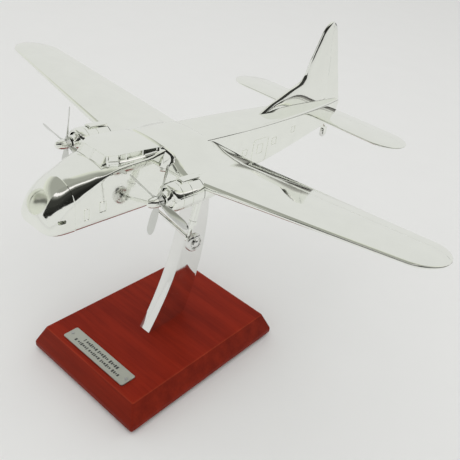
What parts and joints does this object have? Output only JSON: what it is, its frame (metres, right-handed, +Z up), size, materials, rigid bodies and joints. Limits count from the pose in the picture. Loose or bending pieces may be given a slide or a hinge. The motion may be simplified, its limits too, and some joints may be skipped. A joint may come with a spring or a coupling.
{
  "type": "propeller aeroplane desk model on a stand",
  "caption": "Plated metal desk model of a high-wing twin-engine propeller freighter with turning propellers and wheels, on a curved blade stand and a lacquered wooden base.",
  "frame": {"origin": "centre of the flat underside of the base", "axes": "+Z up, the aeroplane's nose towards -Y, its left wing towards +X"},
  "size_m": [0.1644, 0.1286, 0.1023],
  "materials": {
    "lacquered_wood": "clear gloss lacquer over reddish-brown hardwood",
    "felt": "dark pressed felt",
    "plate_metal": "satin silver-coloured engraved sheet",
    "polished_plate": "mirror-polished bright plating on castings",
    "stand_plate": "mirror-polished bright plating",
    "fastener_steel": "zinc-plated steel",
    "bush_brass": "turned brass",
    "wheel_plate": "bright plating"
  },
  "bodies": {
    "airframe_and_stand": {"air_intake_left": "polished_plate", "air_intake_right": "polished_plate", "base_block": "lacquered_wood", "belly_socket": "bush_brass", "cockpit_canopy": "polished_plate", "cowling_left": "polished_plate", "cowling_right": "polished_plate", "engine_core_left": "polished_plate", "engine_core_right": "polished_plate", "felt_pad": "felt", "fin": "polished_plate", "foot_screw": "fastener_steel", "foot_washer": "fastener_steel", "fuselage_dowels": "fastener_steel", "fuselage_left_half": "polished_plate", "fuselage_right_half": "polished_plate", "hub_cap_left": "wheel_plate", "hub_cap_right": "wheel_plate", "main_axle_left": "fastener_steel", "main_axle_right": "fastener_steel", "main_leg_left": "polished_plate", "main_leg_right": "polished_plate", "nacelle_left": "polished_plate", "nacelle_right": "polished_plate", "nameplate": "plate_metal", "nameplate_pins": "plate_metal", "nose_cap": "polished_plate", "radome": "polished_plate", "shaft_bush_left": "bush_brass", "shaft_bush_right": "bush_brass", "side_strut_left": "polished_plate", "side_strut_right": "polished_plate", "stand_blade": "stand_plate", "stand_dowel": "fastener_steel", "stand_stud": "fastener_steel", "tail_axle": "fastener_steel", "tail_fork": "polished_plate", "tailplane_left": "polished_plate", "tailplane_right": "polished_plate", "tailplane_rod": "fastener_steel", "wing_left": "polished_plate", "wing_right": "polished_plate", "wing_spar_rods": "fastener_steel"},
    "propeller_left_unit": {"propeller_left": "polished_plate", "spinner_left": "polished_plate", "propeller_shaft_left": "fastener_steel", "shaft_collar_left": "bush_brass"},
    "main_wheel_left_unit": {"main_wheel_left": "wheel_plate"},
    "propeller_right_unit": {"propeller_right": "polished_plate", "spinner_right": "polished_plate", "propeller_shaft_right": "fastener_steel", "shaft_collar_right": "bush_brass"},
    "main_wheel_right_unit": {"main_wheel_right": "wheel_plate"},
    "tail_wheel_unit": {"tail_wheel": "wheel_plate"}
  },
  "joints": [
    {"name": "propeller_left_spin", "type": "hinge", "parent": "airframe_and_stand", "child": "propeller_left_unit", "pos_m": [0.0184, -0.01866, 0.07272], "axis": [0, 0.9979, -0.0653], "continuous": true},
    {"name": "main_wheel_left_roll", "type": "hinge", "parent": "airframe_and_stand", "child": "main_wheel_left_unit", "pos_m": [0.022, -0.00946, 0.05869], "axis": [1, 0, 0], "continuous": true},
    {"name": "propeller_right_spin", "type": "hinge", "parent": "airframe_and_stand", "child": "propeller_right_unit", "pos_m": [-0.0184, -0.01866, 0.07272], "axis": [0, 0.9979, -0.0653], "continuous": true},
    {"name": "main_wheel_right_roll", "type": "hinge", "parent": "airframe_and_stand", "child": "main_wheel_right_unit", "pos_m": [-0.022, -0.00946, 0.05869], "axis": [1, 0, 0], "continuous": true},
    {"name": "tail_wheel_roll", "type": "hinge", "parent": "airframe_and_stand", "child": "tail_wheel_unit", "pos_m": [0, 0.08012, 0.05995], "axis": [1, 0, 0], "continuous": true}
  ]
}
